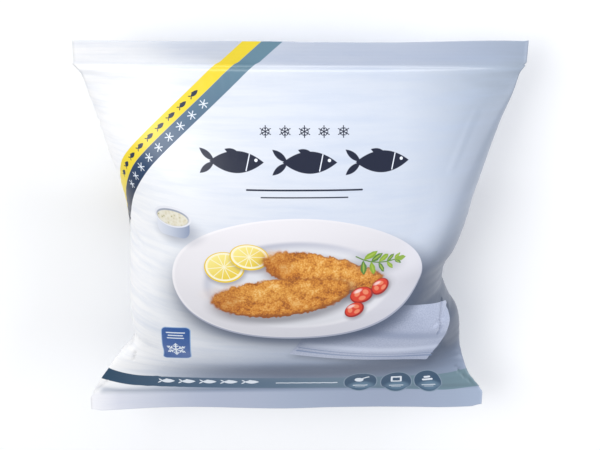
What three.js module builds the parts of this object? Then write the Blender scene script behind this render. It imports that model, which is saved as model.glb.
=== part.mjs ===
// A sealed pillow pack of frozen crumbed fish fillets, lying on its back with the front up.
// A tube of plastic film, welded flat at its top and bottom end, full of fillets and air.
// Units are millimetres. +X runs across the pack to the right of its front, +Y to its top seal, +Z up.
// The origin is on the surface that the pack lies on, under the middle of its bounding box.
import * as THREE from "three";

// Driving dimensions.
const filmWidth = 280; // lay-flat width of the film tube, which both seals keep
const packLength = 281; // from the free edge of one seal to that of the other, once filled
const topSealDepth = 15.5;
const bottomSealDepth = 16;
const sealHeight = 47.5; // how high the two seals float above the surface
const finThickness = 0.8; // two layers of film welded together

// The free edges of the seals aren't quite level: the top one is a slight arch this high, and the
// bottom one waves up and down.
const topArch = 1.6;

// How finely the film is divided.
const columns = 44; // across the front, and across the back
const rows = 52; // between the two seals
const finRows = 3;
const sectionSteps = 240; // used to measure a section before its points are spaced out

const halfWidth = filmWidth / 2;
const topSealLine = packLength / 2 - topSealDepth;
const bottomSealLine = bottomSealDepth - packLength / 2;

// A smooth curve through [y, value] points that never overshoots them (a monotone cubic).
function curveThrough(points) {
  const spans = points.slice(1).map((point, i) => point[0] - points[i][0]);
  const slopes = spans.map((span, i) => (points[i + 1][1] - points[i][1]) / span);
  const tangents = points.map((_, i) => {
    if (i === 0) return slopes[0];
    if (i === slopes.length) return slopes[i - 1];
    if (slopes[i - 1] * slopes[i] <= 0) return 0;
    const before = 2 * spans[i] + spans[i - 1];
    const after = spans[i] + 2 * spans[i - 1];
    return (before + after) / (before / slopes[i - 1] + after / slopes[i]);
  });
  return (y) => {
    const next = points.findIndex((point) => point[0] >= y);
    const i = next < 0 ? spans.length - 1 : Math.max(next - 1, 0);
    const u = (y - points[i][0]) / spans[i];
    return (
      (1 + 2 * u) * (1 - u) ** 2 * points[i][1] +
      u * (1 - u) ** 2 * spans[i] * tangents[i] +
      u * u * (3 - 2 * u) * points[i + 1][1] +
      u * u * (u - 1) * spans[i] * tangents[i + 1]
    );
  };
}

// The outline seen from above. The sides slope in from the top seal to a waist, the left one
// long and straight and the right one short and pinched, and then run out again into flat ears.
const leftEdge = curveThrough([
  [bottomSealLine, 137.8],
  [-112, 131.5],
  [-104, 126.6],
  [-94, 120.4],
  [-86, 112.9],
  [-80, 108.9],
  [-74, 107.1],
  [-66, 108.6],
  [-50, 109.8],
  [-30, 109.5],
  [-10, 108.9],
  [10, 108.2],
  [30, 109.8],
  [50, 114.4],
  [68, 120],
  [88, 125.5],
  [108, 131.3],
  [119.5, 135],
  [123, 137.6],
  [topSealLine, 139.6],
]);
const rightEdge = curveThrough([
  [bottomSealLine, 137.2],
  [-112, 128],
  [-98, 122.6],
  [-84, 118.9],
  [-68, 117.2],
  [-56, 114.4],
  [-46, 108.3],
  [-36, 103.7],
  [-27, 100.2],
  [-17, 100.4],
  [-8, 102.2],
  [2, 107.4],
  [12, 110.5],
  [24, 113.2],
  [36, 115.2],
  [50, 118.5],
  [67, 122.6],
  [88, 128.5],
  [108, 134.4],
  [119.5, 136.8],
  [124, 138.3],
  [topSealLine, 139.7],
]);

// How far the film stands off the level of the seals, along the middle of the pack. The front is
// a dome, fullest just below the middle, and the back is flat where it lies on the surface.
const frontRise = curveThrough([
  [bottomSealLine, 0],
  [-112, 5.5],
  [-99, 13.5],
  [-90, 20.5],
  [-77, 31.5],
  [-60, 43],
  [-40, 52],
  [-20, 56.5],
  [-4, 57.5],
  [28, 53.5],
  [48, 47.5],
  [67, 39.5],
  [88, 28],
  [108, 13.5],
  [topSealLine, 0],
]);
const flatBack = sealHeight - finThickness / 2;
const backDrop = curveThrough([
  [bottomSealLine, 0],
  [-121, 8],
  [-112, 22],
  [-99, 36],
  [-88, 43],
  [-74, 46.7],
  [-60, flatBack],
  [58, flatBack],
  [70, 45.6],
  [88, 37],
  [108, 18.5],
  [topSealLine, 0],
]);

// Beside the seals the side is a sharp fold, and where the pack is full the film runs round it.
const sharpUpTo = bottomSealLine + 6;
const leftRoundFrom = -70;
const rightRoundFrom = -30;
const roundUpTo = 60;
const frontBoxiness = 2.6;
const backBoxiness = 3.4;

// 0 at from and 1 at to, level at both; from may be the larger one.
function smoothStep(from, to, x) {
  const t = THREE.MathUtils.clamp((x - from) / (to - from), 0, 1);
  return t * t * (3 - 2 * t);
}

// 0 for a sharp fold, 1 for a fully rounded side.
function roundness(y, isLeft) {
  const roundFrom = isLeft ? leftRoundFrom : rightRoundFrom;
  return smoothStep(sharpUpTo, roundFrom, y) * smoothStep(topSealLine, roundUpTo, y);
}

// Points evenly spaced along the film of one half of the pack, at one y. side is 1 for the front
// and -1 for the back. The half is a superellipse:
// z = height * (1 - |x / edge| ^ boxiness) ^ (1 / fullness).
function halfSection(y, side) {
  const height = side > 0 ? frontRise(y) : backDrop(y);
  const boxiness = side > 0 ? frontBoxiness : backBoxiness;
  const outline = [];
  const lengths = [0];
  for (let k = 0; k <= sectionSteps; k++) {
    const across = Math.sin((k / sectionSteps - 0.5) * Math.PI);
    const edge = across < 0 ? leftEdge(y) : rightEdge(y);
    const fullness = 1 + roundness(y, across < 0);
    const z = height * Math.max(1 - Math.abs(across) ** boxiness, 0) ** (1 / fullness);
    outline.push(new THREE.Vector2(across * edge, z));
    if (k > 0) lengths.push(lengths[k - 1] + outline[k].distanceTo(outline[k - 1]));
  }
  const points = [];
  let k = 0;
  for (let column = 0; column <= columns; column++) {
    const length = (column / columns) * lengths[sectionSteps];
    while (k < sectionSteps - 1 && lengths[k + 1] < length) k++;
    const share = (length - lengths[k]) / (lengths[k + 1] - lengths[k]);
    const point = outline[k].clone().lerp(outline[k + 1], share);
    const z = sealHeight + side * (point.y + finThickness / 2);
    points.push(new THREE.Vector3(point.x, y, z));
  }
  return points;
}

// How far the free edge of each seal stands above the level of its weld line, at one x.
const topLift = (x) => topArch * Math.cos((Math.PI * x) / filmWidth);
const bottomLift = curveThrough([
  [-halfWidth, 1.2],
  [-80, -1.9],
  [3, 1.9],
  [30, 1.3],
  [60, 1.5],
  [90, 2.5],
  [114, 3.5],
  [halfWidth, 2.8],
]);

// One row of a welded fin, front and back. reach is 0 at the weld line and 1 at the free edge.
function finRow(y, reach, lift) {
  return [1, -1].map((side) => {
    const points = [];
    for (let column = 0; column <= columns; column++) {
      const x = THREE.MathUtils.lerp(-halfWidth, halfWidth, column / columns);
      points.push(new THREE.Vector3(x, y, sealHeight + reach * lift(x) + (side * finThickness) / 2));
    }
    return points;
  });
}

// Every row of the pack from the bottom edge to the top edge, as [front points, back points].
function packRows() {
  const list = [];
  for (let k = finRows; k > 0; k--) {
    const reach = k / finRows;
    list.push(finRow(bottomSealLine - reach * bottomSealDepth, reach, bottomLift));
  }
  for (let k = 0; k <= rows; k++) {
    const y = THREE.MathUtils.lerp(bottomSealLine, topSealLine, k / rows);
    list.push([halfSection(y, 1), halfSection(y, -1)]);
  }
  for (let k = 1; k <= finRows; k++) {
    const reach = k / finRows;
    list.push(finRow(topSealLine + reach * topSealDepth, reach, topLift));
  }
  return list;
}

// Each row is a closed ring: the front from left to right, then the back from right to left.
// Neighbouring rings are joined by faces, and a strip closes each end.
function closedTube(list) {
  const ring = 2 * (columns + 1);
  const points = list.flatMap(([front, back]) => [...front, ...back.slice().reverse()]);
  const faces = [];
  const quad = (a, b, c, d) => faces.push(a, b, c, a, c, d);
  for (let row = 0; row < list.length - 1; row++) {
    for (let k = 0; k < ring; k++) {
      const a = row * ring + k;
      const b = row * ring + ((k + 1) % ring);
      quad(a, b, b + ring, a + ring);
    }
  }
  const last = (list.length - 1) * ring;
  for (let column = 0; column < columns; column++) {
    const under = ring - 1 - column;
    quad(column, under, under - 1, column + 1);
    quad(last + column, last + column + 1, last + under - 1, last + under);
  }
  const geometry = new THREE.BufferGeometry().setFromPoints(points);
  geometry.setIndex(faces);
  geometry.computeVertexNormals();
  return geometry;
}

const film = new THREE.MeshStandardMaterial({ color: 0xd3d9ea, roughness: 0.38, metalness: 0 });
const pack = new THREE.Mesh(closedTube(packRows()), film);
pack.name = "pillow_pack";

const part = new THREE.Group();
part.name = "frozen_fish_pack";
part.add(pack);
export default part;
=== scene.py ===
import bpy
import numpy as np
from mathutils import Matrix, Vector


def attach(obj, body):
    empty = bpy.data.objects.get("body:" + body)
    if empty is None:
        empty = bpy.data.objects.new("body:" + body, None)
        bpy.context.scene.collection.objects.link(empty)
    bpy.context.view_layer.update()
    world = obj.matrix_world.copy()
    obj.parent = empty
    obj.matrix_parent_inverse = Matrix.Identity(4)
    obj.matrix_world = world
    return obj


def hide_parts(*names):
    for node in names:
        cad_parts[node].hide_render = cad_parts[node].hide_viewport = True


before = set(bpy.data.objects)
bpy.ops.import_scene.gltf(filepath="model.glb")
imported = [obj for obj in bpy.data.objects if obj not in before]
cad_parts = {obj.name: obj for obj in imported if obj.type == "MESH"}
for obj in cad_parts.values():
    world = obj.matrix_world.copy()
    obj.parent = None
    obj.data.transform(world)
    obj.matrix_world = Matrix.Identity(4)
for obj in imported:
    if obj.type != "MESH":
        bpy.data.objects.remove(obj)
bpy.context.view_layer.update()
mm = 0.001
print("loaded the frame")


view = {
    "eye": (-65.8, 444.5, 783.6),
    "aim": (3.0, 10.7, 47.5),
    "imageUp": (0.0058, 0.8617, -0.5073),  # the camera leans over the top seal
    "lens": 78.0,
    "sensor": 36.0,
}


def addCamera():
    eye = Vector(view["eye"])
    back = (eye - Vector(view["aim"])).normalized()
    right = Vector(view["imageUp"]).cross(back).normalized()
    turned = Matrix((right, back.cross(right), back)).transposed()
    data = bpy.data.cameras.new("camera")
    data.lens, data.sensor_width = view["lens"], view["sensor"]
    camera = bpy.data.objects.new("camera", data)
    bpy.context.scene.collection.objects.link(camera)
    camera.matrix_world = Matrix.Translation(eye * mm) @ turned.to_4x4()
    bpy.context.scene.camera = camera


addCamera()
print("placed the camera")


# The form of the filled bag.
bag = {
    "filmWidth": 280.0,  # lay-flat width of the film tube, which both seals keep
    "length": 281.0,  # from free edge to free edge
    "topSeal": 15.5,
    "bottomSeal": 16.0,
    "sealHeight": 47.5,  # how high the seals float above the floor
    "finThickness": 0.5,  # two layers of film
    "frontBoxiness": 2.6,  # how square a section is
    "backBoxiness": 3.4,
    "sharpDepth": 6.0,  # so far above the lower weld both sides are sharp folds
    "leftRoundFrom": -70.0,  # between these two and roundUpTo the film runs round them
    "rightRoundFrom": -30.0,
    "roundUpTo": 60.0,
    "gather": 4,  # the larger, the closer the spare film lies to the folds
    "sectionSteps": 480,  # used to measure a section before its points are spaced out
    "columns": 84,  # across the front, and across the back, before they are doubled
    "bodyRows": 78,  # between the seals, before they are doubled
    "finRows": 40,
}
topLine = bag["length"] / 2 - bag["topSeal"]
bottomLine = bag["bottomSeal"] - bag["length"] / 2
halfWidth = bag["filmWidth"] / 2


def curveThrough(*points):
    # A smooth curve through (y, value) points that never overshoots them: cubic pieces whose
    # slope at each point is the weighted harmonic mean of the slopes beside it.
    y, value = np.array(points, float).T
    span = np.diff(y)
    slope = np.diff(value) / span
    before, after = 2 * span[1:] + span[:-1], span[1:] + 2 * span[:-1]
    turning = slope[:-1] * slope[1:] <= 0
    low, high = np.where(turning, 1.0, slope[:-1]), np.where(turning, 1.0, slope[1:])
    inner = np.where(turning, 0.0, (before + after) / (before / low + after / high))
    tangent = np.concatenate([slope[:1], inner, slope[-1:]])

    def at(where):
        i = np.clip(np.searchsorted(y, where) - 1, 0, len(span) - 1)
        t = (where - y[i]) / span[i]
        return ((1 + 2 * t) * (1 - t) ** 2 * value[i] + t * (1 - t) ** 2 * span[i] * tangent[i]
                + t * t * (3 - 2 * t) * value[i + 1] + t * t * (t - 1) * span[i] * tangent[i + 1])

    return at


# The outline from above: half widths to the left and to the right fold, along the bag.
leftEdge = curveThrough(
    (bottomLine, 137.8), (-112, 131.5), (-104, 126.6), (-94, 120.4), (-86, 112.9), (-80, 108.9),
    (-74, 107.1), (-66, 108.6), (-50, 109.8), (-30, 109.5), (-10, 108.9), (10, 108.2), (30, 109.8),
    (50, 114.4), (68, 120), (88, 125.5), (108, 131.3), (119.5, 135), (123, 137.6), (topLine, 139.6))
rightEdge = curveThrough(
    (bottomLine, 137.2), (-112, 128), (-98, 122.6), (-84, 118.9), (-68, 117.2), (-56, 114.4),
    (-46, 108.3), (-36, 103.7), (-27, 100.2), (-17, 100.4), (-8, 102.2), (2, 107.4), (12, 110.5),
    (24, 113.2), (36, 115.2), (50, 118.5), (67, 122.6), (88, 128.5), (108, 134.4), (119.5, 136.8),
    (124, 138.3), (topLine, 139.7))
# How far the middle of the front and of the back stand off the level of the seals.
frontRise = curveThrough(
    (bottomLine, 0), (-112, 5.5), (-99, 13.5), (-90, 20.5), (-77, 31.5), (-60, 43), (-40, 52),
    (-20, 56.5), (-4, 57.5), (28, 53.5), (48, 47.5), (67, 39.5), (88, 28), (108, 13.5), (topLine, 0))
flatBack = bag["sealHeight"] - bag["finThickness"] / 2
backDrop = curveThrough(
    (bottomLine, 0), (-121, 8), (-112, 22), (-99, 36), (-88, 43), (-74, 46.7), (-60, flatBack),
    (58, flatBack), (70, 45.6), (88, 37), (108, 18.5), (topLine, 0))
# How far the free edge of each seal stands above its weld, from left to right.
topLift = curveThrough(
    (-halfWidth, 1.1), (-98, 1.2), (-80, 1.3), (-61, 0.9), (-36, 0.3), (-18, 0.4), (0, 1.3), (18, 1.6),
    (37, 1.6), (55, 1.3), (74, 0.3), (92, -0.9), (110, -2.2), (123, -2.6), (halfWidth, -2.2))
bottomLift = curveThrough(
    (-halfWidth, 1.2), (-80, -1.9), (3, 1.9), (30, 1.3), (60, 1.5), (90, 2.5), (114, 3.5),
    (halfWidth, 2.8))
# How far the film of the back has come round the left side on to the front.
leftTurn = curveThrough(
    (bottomLine, 0), (-90, 0), (-50, 12), (-10, 25), (10, 26), (25, 27), (38, 24), (50, 19.5),
    (60, 14.5), (72, 6.5), (85, 2.5), (100, 0.4), (topLine, 0))


def smoothStep(start, end, x):
    # 0 at start and 1 at end, level at both: t * t * (3 - 2 * t).
    t = np.clip((x - start) / (end - start), 0, 1)
    return t * t * (3 - 2 * t)


def halfSection(y, side):
    # One half of the bag at one y, side 1 for the front and -1 for the back: the superellipse
    # z = height * (1 - |x / edge| ^ boxiness) ^ (1 / fullness), with its points spaced evenly.
    # Also gives how far along the film each point is from the middle.
    across = np.sin(np.linspace(-0.5, 0.5, bag["sectionSteps"] + 1) * np.pi)
    edge = np.where(across < 0, leftEdge(y), rightEdge(y))
    roundFrom = np.where(across < 0, bag["leftRoundFrom"], bag["rightRoundFrom"])
    fullness = 1 + (smoothStep(bottomLine + bag["sharpDepth"], roundFrom, y)
                    * smoothStep(topLine, bag["roundUpTo"], y))
    height = frontRise(y) if side > 0 else backDrop(y)
    boxiness = bag["frontBoxiness"] if side > 0 else bag["backBoxiness"]
    x = across * edge
    z = height * np.maximum(1 - np.abs(across) ** boxiness, 0) ** (1 / fullness)
    length = np.concatenate([[0], np.cumsum(np.hypot(np.diff(x), np.diff(z)))])
    even = np.linspace(0, length[-1], bag["columns"] + 1)
    fromMiddle = even - np.interp(0, x, length)
    x, z = np.interp(even, length, x), np.interp(even, length, z)
    z = side * (z + bag["finThickness"] / 2)
    return np.stack([x, np.full_like(x, y), z], 1), fromMiddle


def filmAcross(fromMiddle, leftReach):
    # The flat film's own coordinate, which reaches half its width at the right fold and leftReach at
    # the left one: where the bag is narrower, the spare film is gathered close to the folds.
    reach = np.where(fromMiddle < 0, -fromMiddle[0], fromMiddle[-1])
    share = np.abs(fromMiddle) / reach
    full = np.where(fromMiddle < 0, leftReach, halfWidth)
    return fromMiddle + np.sign(fromMiddle) * (full - reach) * share ** bag["gather"]


def bodyRings():
    # One ring for each row: the front from left to right, then the back from right to left. filmU
    # runs round the flat film from the middle of its front, and filmV up it.
    ys = np.linspace(bottomLine, topLine, bag["bodyRows"] + 1)
    rings, filmU = [], []
    for y in ys:
        front, frontLength = halfSection(y, 1)
        back, backLength = halfSection(y, -1)
        rings.append(np.concatenate([front, back[::-1]]))
        turn = leftTurn(y)
        frontU = filmAcross(frontLength, halfWidth + turn)
        backU = 2 * halfWidth - filmAcross(backLength, halfWidth - turn)
        filmU.append(np.concatenate([frontU, backU[::-1]]))
    fine = np.linspace(bottomLine, topLine, 2001)
    along = np.concatenate([[0], np.cumsum(np.hypot(np.diff(fine), np.diff(frontRise(fine))))])
    filmV = bag["bottomSeal"] + np.interp(ys, fine, along)
    return np.array(rings), np.array(filmU), filmV


# Puckers and wrinkles: the film is settled as a sheet that is a little longer than the plain form.
film = {
    "seed": 3,
    "nudge": 0.3,  # size of the unevenness that the puckers grow from
    "blend": 6,  # how wide it is, in rows
    "steps": 500,
    "stretch": 0.12,
    "bend": 0.001,
    "hold": 0.003,
    "press": 0.004,  # the air and the fillets inside
    "carry": 0.8,
    "cap": 5.0,  # how far a point may move
    "sideSpare": 0.05,  # spare film along the folds
    "sidePower": 4,  # the larger, the closer it lies to them
    "sealSpare": 0.04,  # spare film across the seals
    "sealMiddle": 0.4,  # how much of it lies in the middle of their width
    "sealReach": 0.1,  # how far it runs in from them, as a share of the bag's length
    "patchy": 0.5,
    "patchMost": 2.5,
    "patchSeed": 11,
    "patchBlend": 60,
    "plainBlend": 8,  # wider swellings than this are left out, as the form has them already
    "frontShare": 0.22,  # how much of the puckers the taut front shows
    "backShare": 1.0,
    "backPower": 6,  # the larger, the closer to its folds the back shows them in full
}


def surfaceNormals(points):
    # The cross product of the steps round the ring and along the bag, made 1 long.
    across = np.roll(points, -1, 1) - np.roll(points, 1, 1)
    normal = np.cross(across, np.gradient(points, axis=0))
    return normal / np.maximum(np.linalg.norm(normal, axis=2, keepdims=True), 1e-9)


def smoothed(field, times):
    # Repeated means of three neighbours, round the ring and along the bag.
    for _ in range(times):
        field = (field + np.roll(field, 1, 1) + np.roll(field, -1, 1)) / 3
        field[1:-1] = (field[1:-1] + field[2:] + field[:-2]) / 3
    return field


def unevenness(seed, shape, times):
    # Random numbers, smoothed so many times and scaled to a standard deviation of 1.
    field = smoothed(np.random.default_rng(seed).standard_normal(shape), times)
    return field / field.std()


def ringSide(columns):
    # How near each point of a ring is to a fold: 0 in the middle of a half, 1 at its folds.
    n = columns // 2 - 1
    return np.abs(np.concatenate([np.linspace(-1, 1, n + 1), np.linspace(1, -1, n + 1)]))[None]


def spareFilm(rows, columns):
    # Shares by which the film is longer than the plain form: along the bag near its folds, and
    # round it near its seals, both in patches.
    patches = []
    for k in range(2):
        patch = unevenness(film["patchSeed"] + k, (rows, columns), film["patchBlend"])
        patches.append(np.clip(1 + film["patchy"] * patch, 0, film["patchMost"]))
    side = ringSide(columns)
    t = np.linspace(0, 1, rows)[:, None]
    nearSeal = np.exp(-(t / film["sealReach"]) ** 2) + np.exp(-((1 - t) / film["sealReach"]) ** 2)
    towardsFold = film["sealMiddle"] + (1 - film["sealMiddle"]) * side ** 2
    return (film["sideSpare"] * side ** film["sidePower"] * patches[0],
            film["sealSpare"] * nearSeal * towardsFold * patches[1])


def settleFilm(start):
    # Every link of the grid pulls towards its own length with the spare film added, and the inside
    # presses out. The rows at the seals stay, and nothing sinks below the floor.
    rows, columns = start.shape[:2]
    sideSpare, sealSpare = spareFilm(rows, columns)
    free = np.ones((rows, 1, 1))
    free[[0, -1]] = 0
    links = []
    for down, over in ((0, 1), (1, 0), (1, 1), (1, -1)):
        gap = np.roll(start, -over, 1)[down:] - start[:rows - down]
        spare = sealSpare if down == 0 else sideSpare if over == 0 else (sideSpare + sealSpare) / 2
        rest = np.linalg.norm(gap, axis=2, keepdims=True) * (1 + spare[:rows - down, :, None])
        links.append((down, over, rest))
    uneven = unevenness(film["seed"], (rows, columns), film["blend"])[..., None]
    points = start + surfaceNormals(start) * uneven * film["nudge"] * free
    before = points
    for _ in range(film["steps"]):
        pull = np.zeros_like(points)
        for down, over, rest in links:
            gap = np.roll(points, -over, 1)[down:] - points[:rows - down]
            size = np.linalg.norm(gap, axis=2, keepdims=True)
            share = gap * (1 - rest / np.maximum(size, 1e-9))
            pull[:rows - down] += share
            pull[down:] -= np.roll(share, over, 1)
        moved = points - start
        bend = np.roll(moved, 1, 1) + np.roll(moved, -1, 1) - 2 * moved
        bend[1:-1] += moved[2:] + moved[:-2] - 2 * moved[1:-1]
        push = film["stretch"] * pull + film["bend"] * bend - film["hold"] * moved
        push += film["press"] * surfaceNormals(points)
        points, before = points + free * (film["carry"] * (points - before) + push), points
        moved = points - start
        size = np.linalg.norm(moved, axis=2, keepdims=True)
        points = start + moved * np.minimum(1, film["cap"] / np.maximum(size, 1e-9))
        points[..., 2] = np.maximum(points[..., 2], -bag["sealHeight"])
    return points


def puckered(start):
    # The settled film's height above the plain form, without its wide swellings, laid back on it.
    normal = surfaceNormals(start)
    height = np.sum((settleFilm(start) - start) * normal, 2)
    height -= smoothed(height, film["plainBlend"])
    inBack = 1 - ringSide(start.shape[1]) ** film["backPower"]
    inBack[:, :start.shape[1] // 2] = 0
    share = film["frontShare"] + (film["backShare"] - film["frontShare"]) * inBack
    height[[0, -1]] = 0
    return start + normal * (height * share)[..., None]


# The welded fins, the swell beside them, the lap seam and the creases.
seal = {
    "ribPitch": 2.3,  # crimp ribs of the welding jaws, across the bag
    "ribHeight": 0.02,
    "ribMargin": 2.0,  # plain film beyond the ribs
    "topFlare": 2.0,  # depth over which a fin widens to the whole film
    "bottomFlare": 6.0,
    "topAside": 1.2,  # how far the top fin is pulled to the right
    "curlDrop": 1.0,  # the last strip at the right end of the top seal is bent down
    "cornerFrom": 0.94,  # from this share of its half width the lower seal is shallower,
    "cornerRound": 0.12,  # by this share of its depth at the corner
    "topSwell": 1.9,  # the film swells out beside a weld, over swellRise, and falls over swellFall
    "bottomSwell": 0.95,
    "swellRise": 4.5,
    "swellFall": 12.0,
    "swellFromFold": 20.0,
    "lapWidth": 11.0,  # the lengthwise lap seam along the middle of the back
    "lapStep": 0.35,
    "lapSlope": 1.0,
}
creases = [  # sharp dents, along lines on the flat film
    {"path": ((-148, 74), (-139, 66)), "depth": 2.2, "width": 1.3},
    {"path": ((-127.5, 64.5), (-121.5, 53)), "depth": 2.4, "width": 1.1},
    {"path": ((114.5, 119.5), (108.5, 109)), "depth": 2.6, "width": 1.1},
    {"path": ((108.5, 109), (104, 93)), "depth": 2.4, "width": 1.1},
    {"path": ((98, 103), (122, 111)), "depth": 0.8, "width": 2.0},
    {"path": ((129.5, 38), (136.5, 20)), "depth": 1.5, "width": 1.2},
    {"path": ((-134, 27), (-138.5, 17)), "depth": 1.2, "width": 1.1},
    {"path": ((-150, 182), (-122, 168)), "depth": 0.6, "width": 2.2},
    {"path": ((112, 262), (96, 226)), "depth": 0.4, "width": 3.0},
    {"path": ((-96, 34), (-88, 62)), "depth": 0.35, "width": 2.6},
    {"path": ((196, 210), (232, 150)), "depth": 0.7, "width": 2.6},
    {"path": ((372, 96), (334, 140)), "depth": 0.7, "width": 2.6},
]


def finRings(isTop, weldX, weldU):
    # A flat double layer, with reach 0 at the weld line and 1 at the free edge. Its height is
    # reach * lift(x) + ribHeight * sin(2 pi depth / ribPitch).
    fullDepth = bag["topSeal"] if isTop else bag["bottomSeal"]
    reach = np.linspace(0, 1, bag["finRows"] + 1)[1:, None]
    depth = reach * fullDepth
    even = np.linspace(-halfWidth, halfWidth, bag["columns"] + 1)
    spread = smoothStep(0, seal["topFlare"] if isTop else seal["bottomFlare"], depth)
    aside = seal["topAside"] if isTop else 0
    x = weldX + (even + aside - weldX) * spread
    u = weldU + (even - weldU) * spread
    lift = topLift(x) if isTop else bottomLift(x)
    margin = seal["ribMargin"]
    ribbed = smoothStep(0, margin, depth) * smoothStep(fullDepth, fullDepth - margin, depth)
    z = reach * lift + seal["ribHeight"] * ribbed * np.sin(2 * np.pi * depth / seal["ribPitch"])
    if isTop:
        z[:, -1] -= seal["curlDrop"]
        x[:, -1] -= seal["curlDrop"] / 2
        y = topLine + depth + 0 * x
    else:
        corner = smoothStep(seal["cornerFrom"], 1, np.abs(even) / halfWidth)
        y = bottomLine - depth * (1 - seal["cornerRound"] * corner)
    half = bag["finThickness"] / 2
    front, back = np.stack([x, y, z + half], 2), np.stack([x, y, z - half], 2)
    rings = np.concatenate([front, back[:, ::-1]], 1)
    filmU = np.concatenate([u, 2 * halfWidth - u[:, ::-1]], 1)
    return (rings, filmU) if isTop else (rings[::-1], filmU[::-1])


def doubled(values, axis):
    # A point more between every two: (9 (b + c) - (a + d)) / 16 of the four points round it.
    values = np.moveaxis(values, axis, 0)
    padded = np.concatenate([2 * values[:1] - values[1:2], values, 2 * values[-1:] - values[-2:-1]])
    between = (9 * (padded[1:-2] + padded[2:-1]) - padded[:-3] - padded[3:]) / 16
    result = np.empty((2 * len(values) - 1, *values.shape[1:]))
    result[::2], result[1::2] = values, between
    return np.moveaxis(result, 0, axis)


def doubledRing(values):
    # The front and the back of every ring are doubled each by itself.
    halves = values.reshape(len(values), 2, values.shape[1] // 2, -1)
    return doubled(halves, 2).reshape(len(values), -1, *values.shape[2:])


def reliefHeight(filmU, filmV):
    # Height above the film's plain surface: the lap seam on the back, where the film's own edge lies
    # under its other edge, the swelling beside both welds, and the creases. A crease is
    # -depth (1 - q * q) exp(-q * q), with q the distance from its line over its width.
    fromSeam = np.abs(filmU - 2 * halfWidth) - seal["lapWidth"] / 2
    height = -seal["lapStep"] * (1 - smoothStep(-seal["lapSlope"], seal["lapSlope"], fromSeam))
    fromFold = halfWidth - np.abs(np.mod(filmU + halfWidth, 2 * halfWidth) - halfWidth)
    topWeld = filmV[-1, 0] - bag["topSeal"]
    for away, swell in ((topWeld - filmV, seal["topSwell"]),
                        (filmV - bag["bottomSeal"], seal["bottomSwell"])):
        away = np.maximum(away, 0)
        fall = np.exp(-(away / seal["swellFall"]) ** 2) * smoothStep(0, seal["swellFromFold"], fromFold)
        height += swell * smoothStep(0, seal["swellRise"], away) * fall
    for crease in creases:
        start, end = np.array(crease["path"], float)
        along = end - start
        aside = np.mod(filmU - start[0] + 2 * halfWidth, 4 * halfWidth) - 2 * halfWidth
        fromStart = np.stack([aside, filmV - start[1]], 2)
        share = np.clip(fromStart @ along / (along @ along), 0, 1)
        q = np.linalg.norm(fromStart - share[..., None] * along, axis=2) / crease["width"]
        height -= crease["depth"] * (1 - q * q) * np.exp(-q * q)
    return height


def filmSurface():
    # The whole film as a grid of points, a ring for each row, with its flat coordinates.
    body, bodyU, bodyV = bodyRings()
    body = puckered(body)
    body, bodyU, bodyV = doubled(body, 0), doubled(bodyU, 0), doubled(bodyV, 0)
    front = bag["columns"] + 1
    low, lowU = finRings(False, body[0, :front, 0], bodyU[0, :front])
    high, highU = finRings(True, body[-1, :front, 0], bodyU[-1, :front])
    points = doubledRing(np.concatenate([low, body, high]))
    filmU = doubledRing(np.concatenate([lowU, bodyU, highU]))
    points[..., 2] += bag["sealHeight"]
    depth = np.arange(1, bag["finRows"] + 1) / bag["finRows"]
    lowV = bag["bottomSeal"] * (1 - depth[::-1])
    highV = bodyV[-1] + bag["topSeal"] * depth
    filmV = np.concatenate([lowV, bodyV, highV])
    height = reliefHeight(filmU, np.repeat(filmV[:, None], points.shape[1], 1))
    points += surfaceNormals(points) * height[..., None]
    points[..., 2] = np.maximum(points[..., 2], 0)
    return points, filmU, filmV


def buildBag():
    points, filmU, filmV = filmSurface()
    rows, ring = points.shape[:2]
    index = np.arange(rows * ring).reshape(rows, ring)
    after = np.roll(index, -1, 1)
    sides = np.stack([index[:-1], after[:-1], after[1:], index[1:]], 2).reshape(-1, 4)
    # A strip of faces between the front and the back closes each end.
    k = np.arange(ring // 2 - 1)
    under = ring - 1 - k
    ends = ((0, np.stack([k, under, under - 1, k + 1], 1)),
            (-1, np.stack([k, k + 1, under - 1, under], 1)))
    faces = np.concatenate([sides] + [index[row][order] for row, order in ends])

    # The film map: across runs once round the film from its left fold, 0.25 in the middle of the
    # front and 0.75 in the middle of the back, and up runs from the bottom edge to the top one.
    closing = filmU[:, :1] + 4 * halfWidth
    across = (np.concatenate([filmU, closing], 1) + halfWidth) / (4 * halfWidth)
    up = np.repeat(filmV[:, None] / filmV[-1], ring + 1, 1)
    corners = np.stack([across, up], 2)
    quads = np.stack([corners[:-1, :-1], corners[:-1, 1:], corners[1:, 1:], corners[1:, :-1]], 2)
    uv = np.concatenate([quads.reshape(-1, 2)]
                        + [corners[row][order].reshape(-1, 2) for row, order in ends])

    mesh = bpy.data.meshes.new("film_bag")
    mesh.from_pydata((points * mm).reshape(-1, 3).tolist(), [], faces.tolist())
    mesh.polygons.foreach_set("use_smooth", np.ones(len(faces), bool))
    mesh.uv_layers.new(name="film").data.foreach_set("uv", uv.ravel().astype(np.float32))
    mesh.update()
    mesh.validate()
    piece = bpy.data.objects.new("film_bag", mesh)
    bpy.context.scene.collection.objects.link(piece)
    return piece, filmV[-1]


filmBag, filmLength = buildBag()
print("built the bag: film", round(filmLength, 1), "mm long,", len(filmBag.data.polygons), "faces")


def linearColour(hexText):
    # sRGB hex to linear red, green, blue and alpha.
    srgb = np.array([int(hexText[i:i + 2], 16) for i in (1, 3, 5)]) / 255
    linear = np.where(srgb <= 0.04045, srgb / 12.92, ((srgb + 0.055) / 1.055) ** 2.4)
    return (*linear.tolist(), 1.0)


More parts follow.
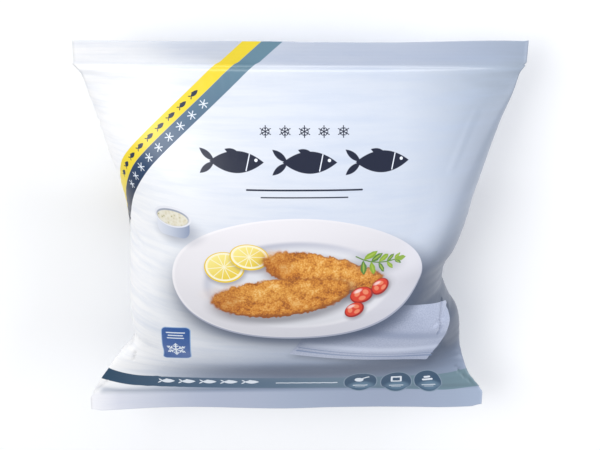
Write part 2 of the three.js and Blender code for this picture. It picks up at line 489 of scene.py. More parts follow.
def addNode(tree, kind, settings, inputs=None, ramp=()):
    # Adds a node, sets it, links or sets its inputs, and gives back its first output. Settings that
    # are a word name the node's operation.
    node = tree.nodes.new("ShaderNode" + kind)
    if isinstance(settings, str):
        settings = {"operation": settings}
    for name, value in settings.items():
        setattr(node, name, value)
    for key, value in (inputs or {}).items():
        socket = node.inputs[key] if isinstance(key, int) else next(
            s for s in node.inputs if s.enabled and s.name == key)
        if isinstance(value, bpy.types.NodeSocket):
            tree.links.new(value, socket)
        else:
            socket.default_value = value
    for k, (position, colour) in enumerate(ramp):
        stop = node.color_ramp.elements[k] if k < 2 else node.color_ramp.elements.new(position)
        stop.position, stop.color = position, linearColour(colour)
    return next((s for s in node.outputs if s.enabled), None)


# The print is fields of ink on shapes, whose places and sizes are millimetres on the flat film.
def oval(x, y, halfX, halfY, turn=0):
    return {"kind": "oval", "at": (x, y), "size": (halfX, halfY), "turn": turn}


def leaf(x, y, halfX, halfY, turn=0):
    return {"kind": "leaf", "at": (x, y), "size": (halfX, halfY), "turn": turn}


def box(x, y, halfX, halfY, turn=0, corner=1.0):
    return {"kind": "box", "at": (x, y), "size": (halfX, halfY), "turn": turn, "corner": corner}


def bar(x, y, halfX, radius, turn=0):
    return box(x, y, halfX, radius, turn, radius)


def band(along, start, end):
    return {"kind": "band", "along": along, "from": start, "to": end}


def snow(x, y, radius, branches=2, armWidth=0.065):
    return {"kind": "snow", "at": (x, y), "size": (radius, radius), "turn": 30,
            "branches": branches, "armWidth": armWidth}


def fish(length):
    # A plain fish, its nose to the right: a long leaf with two leaves for its tail and one for a fin.
    return [leaf(0.08 * length, 0, 0.42 * length, 0.17 * length),
            leaf(-0.38 * length, 0.1 * length, 0.15 * length, 0.05 * length, 140),
            leaf(-0.38 * length, -0.1 * length, 0.15 * length, 0.05 * length, -140),
            leaf(0.02 * length, 0.15 * length, 0.13 * length, 0.05 * length, 160)]


def ink(parts, colour, **more):
    # A field of ink on one shape, or on several joined. colour is hex, the name of a mixed ink, or a
    # list of colours that runs across the first shape in the direction lean. more may also give soft,
    # the millimetres over which the edge fades, cover, how much it hides, rough, how far the edge is
    # ragged, place, the map that the shapes lie on, and meet, for only where they all overlap.
    return {"parts": parts if isinstance(parts, list) else [parts], "colour": colour, **more}


def axesOf(at, turn, unit):
    # Two rows that take (across, up, 1) to a shape's own axes, in which it has the size 1.
    lean = np.radians(turn)
    rows = np.array([[np.cos(lean), np.sin(lean)], [-np.sin(lean), np.cos(lean)]])
    rows = rows / np.array(unit)[:, None]
    return [(*row, -row @ np.array(at)) for row in rows]


def outline(tree, place, part):
    # A distance that is 1 on the shape's outline, and how many millimetres it stands for there.
    # Ovals: |p| = 1. Leaves: |y| + x * x = 1. Boxes: distance to a smaller box = corner. Bands:
    # between two parallel lines. Snow: six arms, each a thin bar with pairs of side branches.
    if part["kind"] == "band":
        low, high = part["from"], part["to"]
        scale = (high - low) / 2
        row = (part["along"][0] / scale, part["along"][1] / scale, -(low + high) / 2 / scale)
        level = addNode(tree, "VectorMath", "DOT_PRODUCT", {0: place, 1: row})
        return addNode(tree, "Math", "ABSOLUTE", {0: level}), scale
    unit = (part["corner"], part["corner"]) if part["kind"] == "box" else part["size"]
    across, up = axesOf(part["at"], part["turn"], unit)
    if part["turn"] == 0 and part["kind"] in ("oval", "box"):
        local = addNode(tree, "VectorMath", "MULTIPLY_ADD", {
            0: place, 1: (across[0], up[1], 0), 2: (across[2], up[2], 0)})
    else:
        x = addNode(tree, "VectorMath", "DOT_PRODUCT", {0: place, 1: across})
        y = addNode(tree, "VectorMath", "DOT_PRODUCT", {0: place, 1: up})
    if part["kind"] == "leaf":
        y = addNode(tree, "Math", "ABSOLUTE", {0: y})
        return addNode(tree, "Math", "MULTIPLY_ADD", {0: x, 1: x, 2: y}), min(unit)
    if part["kind"] == "snow":
        return snowDistance(tree, x, y, part["armWidth"], part["branches"]), min(unit)
    if part["turn"] != 0:
        local = addNode(tree, "CombineXYZ", {}, {0: x, 1: y})
    if part["kind"] == "box":
        inner = [size / part["corner"] - 1 for size in part["size"]]
        local = addNode(tree, "VectorMath", "ABSOLUTE", {0: local})
        local = addNode(tree, "VectorMath", "SUBTRACT", {0: local, 1: (*inner, 0)})
        local = addNode(tree, "VectorMath", "MAXIMUM", {0: local, 1: (0, 0, 0)})
    return addNode(tree, "VectorMath", "LENGTH", {0: local}), min(unit)


def snowDistance(tree, x, y, armWidth, branches):
    # The angle is folded into one sixth of the circle, so one arm and its branches give all six.
    angle = addNode(tree, "Math", "ARCTAN2", {0: y, 1: x})
    angle = addNode(tree, "Math", "WRAP", {0: angle, 1: np.pi / 6, 2: -np.pi / 6})
    length = addNode(tree, "Math", "MULTIPLY", {0: x, 1: x})
    length = addNode(tree, "Math", "MULTIPLY_ADD", {0: y, 1: y, 2: length})
    length = addNode(tree, "Math", "SQRT", {0: length})
    cosine = addNode(tree, "Math", "COSINE", {0: angle})
    sine = addNode(tree, "Math", "SINE", {0: angle})
    x = addNode(tree, "Math", "MULTIPLY", {0: length, 1: cosine})
    y = addNode(tree, "Math", "MULTIPLY", {0: length, 1: sine})
    y = addNode(tree, "Math", "ABSOLUTE", {0: y})
    arm = addNode(tree, "Math", "DIVIDE", {0: y, 1: armWidth})
    nearest = addNode(tree, "Math", "MAXIMUM", {0: arm, 1: x})
    folded = addNode(tree, "CombineXYZ", {}, {0: x, 1: y, 2: 1.0})
    for root, reach in ((0.45, 0.32), (0.72, 0.2))[:branches]:
        branch = None
        for row in axesOf((root, 0), 60, (reach, armWidth)):
            side = addNode(tree, "VectorMath", "DOT_PRODUCT", {0: folded, 1: row})
            side = addNode(tree, "Math", "ABSOLUTE", {0: side})
            branch = side if branch is None else addNode(
                tree, "Math", "MAXIMUM", {0: branch, 1: side})
        nearest = addNode(tree, "Math", "MINIMUM", {0: nearest, 1: branch})
    return nearest


def repeated(tree, place, at, turn, pitch, count):
    # Folds a row of equal cells, pitch apart and turned by turn, on to the one at its centre.
    across, up = axesOf(at, turn, (1, 1))
    x = addNode(tree, "VectorMath", "DOT_PRODUCT", {0: place, 1: across})
    y = addNode(tree, "VectorMath", "DOT_PRODUCT", {0: place, 1: up})
    cell = addNode(tree, "Math", "DIVIDE", {0: x, 1: pitch})
    cell = addNode(tree, "Math", "ROUND", {0: cell})
    cell = addNode(tree, "Clamp", {}, {"Value": cell, "Min": -(count // 2), "Max": count // 2})
    x = addNode(tree, "Math", "MULTIPLY_ADD", {0: cell, 1: -pitch, 2: x})
    return addNode(tree, "CombineXYZ", {}, {0: x, 1: y, 2: 1.0})


def levelAcross(tree, place, part, lean):
    # 0 at one side of a shape and 1 at the other, in the direction lean.
    angle = np.radians(lean)
    inside = angle - np.radians(part["turn"])
    reach = 2 * np.hypot(part["size"][0] * np.cos(inside), part["size"][1] * np.sin(inside))
    across = np.array([np.cos(angle), np.sin(angle)]) / reach
    row = (*across, 0.5 - across @ np.array(part["at"]))
    return addNode(tree, "VectorMath", "DOT_PRODUCT", {0: place, 1: row})


def printInks(tree, colour, places, mixedInks, layers):
    # Lays each field of ink over the colour so far.
    for layer in layers:
        place = places[layer.get("place", "front")]
        if "rough" in layer:
            place = addNode(tree, "VectorMath", "MULTIPLY_ADD", {
                0: places["ragged"], 1: (layer["rough"],) * 3, 2: place})
        if len(layer["parts"]) == 1:
            distance, scale = outline(tree, place, layer["parts"][0])
        else:
            # Several shapes are joined by distances in millimetres.
            join = "MAXIMUM" if layer.get("meet") else "MINIMUM"
            distance, scale = None, 1.0
            for part in layer["parts"]:
                more, reach = outline(tree, place, part)
                more = addNode(tree, "Math", "MULTIPLY_ADD", {0: more, 1: reach, 2: 1 - reach})
                distance = more if distance is None else addNode(
                    tree, "Math", join, {0: distance, 1: more})
        soft = layer.get("soft", 0.3) / scale / 2
        mask = addNode(tree, "MapRange", {"interpolation_type": "SMOOTHSTEP"}, {
            "Value": distance, "From Min": 1 - soft, "From Max": 1 + soft,
            "To Min": layer.get("cover", 1.0), "To Max": 0.0})
        fill = layer["colour"]
        if isinstance(fill, list):
            level = levelAcross(tree, place, layer["parts"][0], layer["lean"])
            fill = addNode(tree, "ValToRGB", {}, {"Fac": level}, fill)
        elif fill in mixedInks:
            fill = mixedInks[fill]
        else:
            fill = linearColour(fill)
        colour = addNode(tree, "Mix", {"data_type": "RGBA"}, {"Factor": mask, "A": colour, "B": fill})
    return colour


# The picture is a plain serving: a pale ground that darkens to the right, a linen cloth, a porcelain
# plate with two crumbed fillets, lemon, tomatoes and herbs, and a bowl of dip.
plate = {"at": (-3, 157), "size": (84, 44.5)}
cloth = {"at": (59, 102), "turn": -19}


def plateOval(x, y, share):
    return oval(plate["at"][0] + x, plate["at"][1] + y, *[side * share for side in plate["size"]])


def clothBox(x, y, halfX, halfY, corner, turn=0):
    return box(cloth["at"][0] + x, cloth["at"][1] + y, halfX, halfY, cloth["turn"] + turn, corner)


def filletLayers(x, y, halfX, halfY, turn):
    # A shadow, a dark rim, the crumb, a lit side and a browned end.
    lean = np.radians(turn)
    along = np.array([np.cos(lean), np.sin(lean)])
    brownEnd = np.array([x, y]) - along * halfX * 0.75

    def body(grow, dx=0, dy=0):
        wide = oval(x + dx, y + dy, halfX + grow, halfY + grow, turn)
        tail = np.array([x + dx, y + dy]) + along * halfX * 0.5
        return [wide, oval(*tail, halfX * 0.56 + grow, halfY * 0.78 + grow, turn + 6)]

    return [
        ink(body(2.0, 2.0, -3.5), "#4c4853", soft=7, cover=0.6),
        ink(body(0), "#8f4d12", rough=5, soft=0.8),
        ink(body(-1.4, -0.4, 0.9), "crumb", rough=5, soft=3),
        ink(oval(x - 4, y + halfY * 0.35, halfX * 0.72, halfY * 0.42, turn), "crumbLit",
            soft=9, cover=0.7, rough=4),
        ink(oval(*brownEnd, 9, halfY * 0.6, turn), "#9a4f10", soft=9, cover=0.35, rough=6),
    ]


def lemonSlice(x, y, halfX, halfY, turn=0):
    # A shadow, the peel, the pith, the flesh, and spokes of pith.
    spokes = []
    for angle in np.radians((4, 38, 74, 110, 146)):
        reach = 1 / np.hypot(np.cos(angle) / (halfX - 1.9), np.sin(angle) / (halfY - 1.5))
        spokes.append(box(x, y + 0.3, reach, 0.24, np.degrees(angle) + turn, 0.24))
    return [
        ink(oval(x + 0.8, y - 1.6, halfX + 0.4, halfY + 0.4, turn), "#6a6570", soft=4, cover=0.55),
        ink(oval(x, y, halfX, halfY, turn), "#e2bf22"),
        ink(oval(x, y + 0.3, halfX - 0.9, halfY - 0.8, turn), "#efe9cb"),
        ink(oval(x, y + 0.3, halfX - 2.4, halfY - 2.0, turn), [(0, "#dfc23a"), (1, "#eee08a")],
            lean=120, soft=0.8),
        ink(spokes, "#efe9cb", soft=0.5),
    ]


def tomatoHalf(x, y, radius, turn):
    # A shadow, the skin, the flesh, three pods of seeds and a glint.
    angles = np.radians(turn + np.array([30, 150, 270]))
    pods = [oval(x + radius * 0.42 * np.cos(a), y + radius * 0.36 * np.sin(a) + 0.4,
                 radius * 0.3, radius * 0.22, np.degrees(a) + 90) for a in angles]
    flesh = oval(x - 0.3, y + 0.5, radius - 0.9, radius * 0.84 - 0.9, turn)
    glint = oval(x - radius * 0.35, y + radius * 0.45, radius * 0.34, radius * 0.16, 25)
    return [
        ink(oval(x + 1, y - 1.8, radius + 0.4, radius * 0.86, turn), "#5f4f55", soft=4, cover=0.6),
        ink(oval(x, y, radius, radius * 0.84, turn), "#9c130b"),
        ink(flesh, "#d33a20", soft=0.6),
        ink(pods, "#e88460", soft=0.8),
        ink(glint, "#fbf2ee", soft=1.2, cover=0.6),
    ]


def herbSprig(x, y, size, turn):
    # Leaves in pairs along a bent stem, the far ones smaller, in three greens.
    greens, stem = ([], [], []), []
    start = (x, y)
    for k in range(5):
        degrees = turn + 9 * k
        lean = np.radians(degrees)
        x, y = x + size * 0.4 * np.cos(lean), y + size * 0.4 * np.sin(lean)
        stem.append(bar(x - size * 0.2 * np.cos(lean), y - size * 0.2 * np.sin(lean),
                        size * 0.24, 0.4, degrees))
        for side in (-1, 1):
            angle = lean + side * np.radians(58 - 4 * k)
            reach = size * (0.4 - 0.045 * k)
            spot = (x + reach * 1.05 * np.cos(angle), y + reach * 1.05 * np.sin(angle))
            greens[(k + (side > 0)) % 2].append(leaf(*spot, reach, reach * 0.4, np.degrees(angle)))
            greens[2].append(leaf(*spot, reach * 0.75, reach * 0.12, np.degrees(angle)))
    tip = (x + size * 0.34 * np.cos(lean), y + size * 0.34 * np.sin(lean))
    greens[1].append(leaf(*tip, size * 0.3, size * 0.13, degrees))
    middle = (np.array(start) + (x, y)) / 2
    return [
        ink(oval(middle[0] + 1, middle[1] - 3, size * 1.15, size * 0.5, turn + 18), "#58616c",
            soft=7, cover=0.35),
        ink(stem, "#5d8136"),
        ink(greens[0], "#527b34", rough=2, soft=0.4),
        ink(greens[1], "#83a22f", rough=2, soft=0.4),
        ink(greens[2], "#a7bd4e", soft=0.4, cover=0.7),
    ]


def dipBowl(x, y, halfX):
    # A shadow, the wall, the rim, its inner edge and the dip.
    return [
        ink(oval(x + 4, y - halfX * 0.62, halfX * 1.05, halfX * 0.52), "#4f5c78", soft=9, cover=0.5),
        ink(box(x, y - halfX * 0.36, halfX * 0.9, halfX * 0.52, 0, halfX * 0.4),
            [(0, "#d6d9e1"), (0.45, "#bcc3d1"), (1, "#8692ab")], lean=0),
        ink(oval(x, y, halfX, halfX * 0.46), "#dcdde3"),
        ink(oval(x, y - 0.3, halfX * 0.88, halfX * 0.37), "#9299a8", soft=0.6),
        ink(oval(x, y - 0.9, halfX * 0.84, halfX * 0.33), "dip", soft=0.6),
    ]


groundLayers = [
    ink(oval(79, 8, 171, 100), "#8895ab", soft=54),
    ink(oval(116, 113, 84, 62, 30), "#3d495d", soft=48, cover=0.93),
    # painted shade: darker along the upper right fold, where the film turns away from the light
    ink(oval(148, 200, 50, 70), "#818a9a", soft=42, cover=0.6),
    ink(oval(14, 47, 76, 16), "#39445a", soft=22, cover=0.75),
    # the lower seal, darker to the right
    ink(box(0, 0, 150, 14.5), [
        (0.03, "#efeef1"), (0.1, "#cfd1de"), (0.19, "#cbcfdd"), (0.28, "#c0c6d8"), (0.4, "#b9c0d2"),
        (0.52, "#aeb8cb"), (0.65, "#a5afc4"), (0.8, "#a2acc1"), (0.9, "#9eaabe"), (1, "#aab8cd")],
        lean=0, soft=6, cover=0.95),
    ink(oval(30, 306, 120, 10.5), "#97a2ba", soft=7, cover=0.4),
]
clothLayers = [
    ink(clothBox(3, -6, 57, 34, 6), "#3b4a63", soft=14, cover=0.6),
    ink(clothBox(0, 0, 56, 33, 2), "linen"),
    ink(clothBox(-3, -14, 54, 3.2, 3.2, 2), "#c7cee0", soft=6, cover=0.8),
    ink(clothBox(8, 3, 50, 3.6, 3.6, -3), "#8792ab", soft=6, cover=0.7),
    ink(clothBox(-6.3, -25.2, 55.8, 1.1, 0.2), "#6c7fa3", soft=0.4, cover=0.8),
    ink(clothBox(-5.2, -21, 55.8, 0.5, 0.2), "#6c7fa3", soft=0.4, cover=0.8),
]
plateLayers = [
    ink(plateOval(0, -13, 1.0), "#36435b", soft=24, cover=0.6),
    ink(plateOval(6, -8, 1.01), "#3c4a63", soft=13, cover=0.75),
    ink(plateOval(0.6, -1.6, 1.0), "#a3a7b7"),
    ink(plateOval(0, 0, 1.0), [(0, "#ebe8ea"), (0.5, "#dad8dc"), (1, "#cbcad2")], lean=-50),
    ink(plateOval(0, 0, 0.975), [(0, "#e2dfe2"), (0.5, "#d6d4d8"), (1, "#cdccd3")], lean=-60, soft=1.2),
    ink(plateOval(1, -2.5, 0.72), [(0, "#b2b4c0"), (0.5, "#cfcfd6"), (1, "#e4e2e5")], lean=-70, soft=3),
    ink(plateOval(1.5, -3.5, 0.66), "#d6d6da", soft=5),
]
foodLayers = [
    *lemonSlice(-49, 168, 13.5, 10.5, 8),
    *lemonSlice(-33, 176, 12.5, 8.6, -4),
    *filletLayers(13, 165, 38, 12.5, -13),
    *filletLayers(-14, 147, 43, 14.5, 7),
    *herbSprig(34, 176, 13, -28),
    *tomatoHalf(39, 148, 7.6, 10),
    *tomatoHalf(51, 153, 6.6, 60),
    *tomatoHalf(35, 136.5, 6.8, 40),
]

# Plain marks stand round the picture: three fishes over two rules, a corner ribbon, a tag and a strip.
title = {"middle": 1, "fishLength": 40.0}
titleLayers = [
    ink(fish(title["fishLength"]), "#0c1630", place="title", soft=0.4),
    ink(oval(15.2, 1.3, 1.0, 1.0), "#e9eef8", place="title"),
    ink([band((0.97, -0.2), 9.6, 10.2), oval(10, 0, 3.2, 5.6)], "#e9eef8", place="title", meet=True),
    ink(snow(0, 0, 3.9, 1, 0.075), "#0c1630", place="flakes", soft=0.2),
    ink([bar(title["middle"], 219, 36, 0.55), bar(title["middle"], 214.5, 27, 0.4)], "#0c1630"),
]
ribbon = {  # a corner ribbon at 45 degrees, given by (across - up) / sqrt 2
    "along": (0.70711, -0.70711),
    "edges": (-247.6, -239.4, -230.3),
    "rowPitch": 10.5,
    "rowAt": (-91, 242),
    "rowCount": 9,
}
ribbonLayers = [
    ink(band(ribbon["along"], *ribbon["edges"][:2]), "#e6cd2f", soft=0.4),
    ink(band(ribbon["along"], *ribbon["edges"][1:]), "navyBand", soft=0.4),
    ink(fish(7.6), "#1d2a42", place="yellowRow", soft=0.25),
    ink(snow(0, 0, 3.0, 0, 0.1), "#d9e0e8", place="navyRow", soft=0.25),
]
tag = {"at": (-84, 91), "halfX": 11.6, "halfY": 21.0, "slope": 0.29}
tagLayers = [
    ink(box(*tag["at"], tag["halfX"] + 0.7, tag["halfY"] + 0.7, 0, 4.4), "#8fafd4", place="tag"),
    ink(box(*tag["at"], tag["halfX"], tag["halfY"], 0, 3.7), "#124f96", place="tag"),
    ink(snow(tag["at"][0], tag["at"][1] - 6.5, 9.0), "#dfe7f0", place="tag", soft=0.25),
    ink([bar(tag["at"][0], tag["at"][1] + height, reach, 0.6)
         for height, reach in ((15.6, 8), (12.4, 6.4), (9.2, 7.2))], "#dfe7f0", place="tag", soft=0.25),
]
strip = {
    "ovals": ((50.5, 25.6, 12.3), (77, 24.6, 12.1), (101.5, 24.2, 11.3)),  # across, up, half width
    "bendFrom": 108.0,
    "bendTo": 150.0,
    "bend": 4.6,  # how far the strip bends down towards its ends
}
stripLayers = [
    # painted shade in the fold where the body meets the lower weld
    ink(box(-10, 17.6, 125, 2.6, 0, 2.5), "#7f8ca2", soft=5, cover=0.45),
    ink([band((0.046, 1), 18.6, 80), band((0.02, 1), -80, 32.6)], "stripBand",
        place="strip", meet=True, soft=0.5),
    ink([oval(x, y, half, 12.2) for x, y, half in strip["ovals"]], "#8494a4"),
    ink([oval(x, y, half - 0.7, 11.5) for x, y, half in strip["ovals"]], "#34506a", soft=0.4),
    ink([oval(x + 1, y - 5.2, half * 0.7, 5) for x, y, half in strip["ovals"]], "#6d8aa0",
        soft=4, cover=0.7),
    # a pan, an oven and a tray, each over two short bars
    ink([oval(49.2, 28, 3.2, 2.4), bar(53.6, 30.4, 3.2, 0.6, 24), box(77, 27.6, 4.2, 3.2, 0, 0.8),
         bar(101.5, 25.6, 4.4, 0.9), bar(101.5, 28.4, 2.8, 1.0)], "#dfe5ec", soft=0.25),
    ink(box(77, 27.3, 2.8, 1.8, 0, 0.4), "#34506a", soft=0.25),
    ink([bar(x, y - fall, reach, 0.5) for x, y, _ in strip["ovals"]
         for fall, reach in ((4.4, 5.4), (6.9, 3.6))], "#cfd8e0"),
    ink(fish(12.5), "#dfe5ec", place="stripRow", soft=0.25),
    ink(bar(12, 25.4, 22, 0.45, -1), "#dfe5ec", soft=0.25),
]
backLayers = [
    ink(box(0, 165, 92, 88, 0, 8), "#e3e5ea", place="back"),
    ink([bar(0, 232, 70, 0.5), bar(0, 98, 70, 0.5)], "#51647f", place="back"),
    ink(snow(0, 0, 9), "#9fb3d1", place="backRow", soft=0.4),
]
printOrder = (groundLayers, clothLayers, plateLayers, dipBowl(-86, 197, 15), foodLayers, titleLayers,
              backLayers, ribbonLayers, tagLayers, stripLayers)


def ribbonMiddle(k):
    # The middle of the row of marks along one of the ribbon's two bands.
    out = np.array([1, -1]) / np.sqrt(2)
    middle = np.array(ribbon["rowAt"])
    onDiagonal = middle - out * (middle @ out)
    return tuple(onDiagonal + out * sum(ribbon["edges"][k:k + 2]) / 2)


markRows = {  # rows of equal marks: middle, turn, pitch and number
    "stripRow": ((-58, 28.4), -1.5, 15.0, 5),
    "title": ((title["middle"], 236), 0, 45.0, 3),
    "flakes": ((title["middle"], 255), 0, 12.0, 5),
    "yellowRow": (ribbonMiddle(0), 45, ribbon["rowPitch"], ribbon["rowCount"]),
    "navyRow": (ribbonMiddle(1), 45, ribbon["rowPitch"], ribbon["rowCount"]),
    "backRow": ((0, 165), 0, 48.0, 3),
}


def filmPlace(tree):
    # The film map in millimetres: across is 0 in the middle of the front and 280 either way at the
    # middle of the back, up runs from the bottom edge, and the third value is 1. The first result is
    # for textures. The rest reads the second, as only vectors and numbers pass between those nodes
    # and none has to be converted, which keeps this large tree within what the renderer can hold.
    flat = addNode(tree, "UVMap", {"uv_map": "film"})
    flat = addNode(tree, "Mapping", {"vector_type": "POINT"}, {
        "Vector": flat, "Location": (-halfWidth, 0, 1), "Scale": (4 * halfWidth, filmLength, 1)})
    wide = bag["filmWidth"]
    front = addNode(tree, "VectorMath", "WRAP", {0: flat, 1: (wide, 1000, 2), 2: (-wide, -1000, -2)})
    return flat, front


grain = {  # cells or waves in each millimetre of film
    "ragged": 0.28,  # the edges of crumb and leaves
    "crumb": 0.85,  # crumbs about 1.2 mm wide
    "browning": 0.11,  # patches about 9 mm wide
    "herbSpecks": 0.42,
    "threads": 0.9,  # drawn about 1.1 mm apart, coarser than real linen, so that they show
    "crinkle": 1 / 9.0,  # fine unevenness of the laminated film, about 9 mm wide
    "streaks": (0.016, 0.14, 1),  # long level streaks in the ground
}


def picturePlaces(tree, flat, front):
    # The maps that shapes can lie on. ragged moves a map to and fro, to roughen an edge.
    x = addNode(tree, "VectorMath", "DOT_PRODUCT", {0: front, 1: (1, 0, 0)})
    y = addNode(tree, "VectorMath", "DOT_PRODUCT", {0: front, 1: (0, 1, 0)})
    side = addNode(tree, "Math", "ABSOLUTE", {0: x})
    fromSeam = addNode(tree, "Math", "SUBTRACT", {0: bag["filmWidth"], 1: side})
    sign = addNode(tree, "Math", "SIGN", {0: x})
    backX = addNode(tree, "Math", "MULTIPLY", {0: fromSeam, 1: sign})
    back = addNode(tree, "CombineXYZ", {}, {0: backX, 1: y, 2: 1.0})
    shifts = []
    for shift in (0, 500):  # two parts of the noise that have nothing in common
        moved = addNode(tree, "Mapping", {}, {"Vector": flat, "Location": (shift, 0, 0)})
        noise = addNode(tree, "TexNoise", {}, {
            "Vector": moved, "Scale": grain["ragged"], "Detail": 3.0})
        shifts.append(addNode(tree, "Math", "SUBTRACT", {0: noise, 1: 0.5}))
    ragged = addNode(tree, "CombineXYZ", {}, {0: shifts[0], 1: shifts[1]})
    bend = addNode(tree, "MapRange", {"interpolation_type": "SMOOTHSTEP"}, {
        "Value": side, "From Min": strip["bendFrom"], "From Max": strip["bendTo"],
        "To Max": -strip["bend"]})
    bend = addNode(tree, "CombineXYZ", {}, {1: bend})
    bent = addNode(tree, "VectorMath", "ADD", {0: front, 1: bend})
    level = addNode(tree, "VectorMath", "DOT_PRODUCT", {
        0: front, 1: (-tag["slope"], 1, tag["slope"] * tag["at"][0])})
    tagPlace = addNode(tree, "CombineXYZ", {}, {0: x, 1: level, 2: 1.0})
    places = {"front": front, "back": back, "strip": bent, "tag": tagPlace, "ragged": ragged,
              "across": x, "up": y, "side": side}
    for name, row in markRows.items():
        places[name] = repeated(tree, back if name == "backRow" else front, *row)
    return places


def mixInks(tree, flat, places):
    # Inks that vary over the film: golden crumb, the dip with its herbs, linen, and the two bands,
    # the ribbon's darker downwards, with a painted sheen at its paler top, and the strip's paler to the
    # right.
    cells = addNode(tree, "TexVoronoi", {}, {"Vector": flat, "Scale": grain["crumb"]})
    patches = addNode(tree, "TexNoise", {}, {
        "Vector": flat, "Scale": grain["browning"], "Detail": 6.0, "Roughness": 0.78})
    mixed = addNode(tree, "Math", "MULTIPLY_ADD", {0: cells, 1: -0.2, 2: patches})
    crumb = addNode(tree, "ValToRGB", {}, {"Fac": mixed}, [
        (0.24, "#8a4a12"), (0.35, "#b96e1e"), (0.44, "#d28a31"), (0.56, "#e2ab5d")])
    crumbLit = addNode(tree, "ValToRGB", {}, {"Fac": mixed}, [
        (0.24, "#b06a20"), (0.35, "#d49038"), (0.44, "#e2a84f"), (0.56, "#efcb88")])
    specks = addNode(tree, "TexVoronoi", {}, {"Vector": flat, "Scale": grain["herbSpecks"]})
    dip = addNode(tree, "ValToRGB", {}, {"Fac": specks}, [
        (0.12, "#7d8c45"), (0.2, "#cfc7ae"), (0.7, "#dcd8c8")])
    threads = addNode(tree, "TexNoise", {}, {
        "Vector": flat, "Scale": grain["threads"], "Detail": 2.0})
    linen = addNode(tree, "ValToRGB", {}, {"Fac": threads}, [(0.3, "#99a2b9"), (0.7, "#b2b9cc")])
    down = addNode(tree, "MapRange", {}, {"Value": places["up"], "From Min": 300.0, "From Max": 195.0})
    # the ribbon's navy, paler towards its top: painted sheen over the navy ink
    navyBand = addNode(tree, "ValToRGB", {}, {"Fac": down}, [
        (0, "#638495"), (0.45, "#4b627b"), (0.7, "#1f3a5c"), (1, "#081730")])
    right = addNode(tree, "MapRange", {}, {
        "Value": places["across"], "From Min": -halfWidth, "From Max": halfWidth})
    stripBand = addNode(tree, "ValToRGB", {}, {"Fac": right}, [
        (0, "#1f4059"), (0.3, "#435e78"), (0.6, "#63798c"), (1, "#6c858f")])
    return {"crumb": crumb, "crumbLit": crumbLit, "dip": dip, "linen": linen, "navyBand": navyBand,
            "stripBand": stripBand, "right": right}


def groundColour(tree, flat, places, right):
    # The pale ground, which darkens to the right, and one plain colour on the back. Faint level
    # streaks run through it.
    ground = addNode(tree, "ValToRGB", {}, {"Fac": right}, [
        (0, "#f1f0ef"), (0.15, "#e9eaec"), (0.3, "#d9dce2"), (0.55, "#cdd3de"), (0.72, "#c5ccd8"),
        (0.88, "#a9b3c2"), (1, "#95a0ae")])
    back = addNode(tree, "MapRange", {"interpolation_type": "SMOOTHSTEP"}, {
        "Value": places["side"], "From Min": 140.0, "From Max": 215.0})
    ground = addNode(tree, "Mix", {"data_type": "RGBA"}, {
        "Factor": back, "A": ground, "B": linearColour("#ccd2de")})
    long = addNode(tree, "Mapping", {}, {
        "Vector": flat, "Scale": grain["streaks"], "Rotation": (0, 0, 0.05)})
    streaks = addNode(tree, "TexNoise", {}, {
        "Vector": long, "Scale": 1.0, "Detail": 4.0, "Roughness": 0.6})
    streaks = addNode(tree, "MapRange", {}, {
        "Value": streaks, "From Min": 0.42, "From Max": 0.75, "To Max": 0.34})
    return addNode(tree, "Mix", {"data_type": "RGBA"}, {
        "Factor": streaks, "A": ground, "B": linearColour("#aab9d2")})


filmFinish = {
    "roughness": 0.31,
    "ior": 1.5,
    "crinkleHeight": 0.12,
}


def printedFilm():
    # Laminated polyethylene film, printed in gravure: satin, with soft broad highlights.
    material = bpy.data.materials.new("printed_laminated_polyethylene")
    material.use_nodes = True
    tree = material.node_tree
    tree.nodes.clear()
    flat, front = filmPlace(tree)
    places = picturePlaces(tree, flat, front)
    mixedInks = mixInks(tree, flat, places)
    colour = groundColour(tree, flat, places, mixedInks["right"])
    for layers in printOrder:
        colour = printInks(tree, colour, places, mixedInks, layers)
    crinkle = addNode(tree, "TexNoise", {}, {
        "Vector": flat, "Scale": grain["crinkle"], "Detail": 3.0, "Roughness": 0.55})
    bump = addNode(tree, "Bump", {}, {
        "Height": crinkle, "Distance": filmFinish["crinkleHeight"] * mm, "Strength": 1.0})
    shader = addNode(tree, "BsdfPrincipled", {}, {
        "Base Color": colour, "Roughness": filmFinish["roughness"], "IOR": filmFinish["ior"],
        "Normal": bump})
    addNode(tree, "OutputMaterial", {}, {"Surface": shader})
    print("printed the film with", len(tree.nodes), "nodes")
    return material


filmBag.data.materials.append(printedFilm())


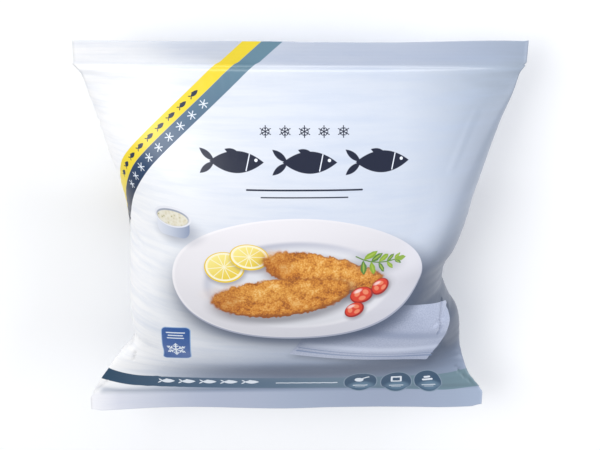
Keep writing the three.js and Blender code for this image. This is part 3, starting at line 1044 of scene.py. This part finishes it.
studio = {
    "floorReach": 6000.0,
    "floorDrop": 0.4,  # the floor lies this far below the bag
    "floorColour": "#fafafa",
    "worldColour": "#f3f5f9",
    "worldStrength": 0.68,
    "lights": [
        # name, place, aim, width, depth, watts, colour
        ("key softbox", (-900, 700, 1300), (0, 0, 50), 900, 900, 12.5, "#ffffff"),
        ("fill softbox", (1300, -250, 720), (0, 0, 50), 1200, 900, 8.0, "#f2f5ff"),
        ("back strip", (180, 1530, 560), (0, 0, 50), 1100, 80, 8.0, "#ffffff"),
    ],
}


def addFloor():
    # Matt white card: an even pale ground that mirrors nothing.
    material = bpy.data.materials.new("matt_white_card")
    material.use_nodes = True
    shader = material.node_tree.nodes["Principled BSDF"]
    shader.inputs["Base Color"].default_value = linearColour(studio["floorColour"])
    shader.inputs["Roughness"].default_value = 0.9
    shader.inputs["Specular IOR Level"].default_value = 0.1
    reach, level = studio["floorReach"] * mm, -studio["floorDrop"] * mm
    corners = [(x * reach, y * reach, level) for x, y in ((-1, -1), (1, -1), (1, 1), (-1, 1))]
    mesh = bpy.data.meshes.new("floor")
    mesh.from_pydata(corners, [], [(0, 1, 2, 3)])
    mesh.materials.append(material)
    floor = bpy.data.objects.new("floor", mesh)
    bpy.context.scene.collection.objects.link(floor)
    return floor


def addLights():
    for name, place, aim, width, depth, watts, colour in studio["lights"]:
        data = bpy.data.lights.new(name, "AREA")
        data.shape, data.size, data.size_y = "RECTANGLE", width * mm, depth * mm
        data.energy, data.color = watts, linearColour(colour)[:3]
        light = bpy.data.objects.new(name, data)
        turned = (Vector(place) - Vector(aim)).to_track_quat("Z", "Y").to_matrix()
        light.matrix_world = Matrix.Translation(Vector(place) * mm) @ turned.to_4x4()
        bpy.context.scene.collection.objects.link(light)
    world = bpy.data.worlds.new("studio")
    world.use_nodes = True
    background = world.node_tree.nodes["Background"]
    background.inputs["Color"].default_value = linearColour(studio["worldColour"])
    background.inputs["Strength"].default_value = studio["worldStrength"]
    bpy.context.scene.world = world
    bpy.context.scene.view_settings.view_transform = "Standard"


floor = addFloor()
addLights()
print("lit the floor")

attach(filmBag, "root")
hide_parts("pillow_pack")
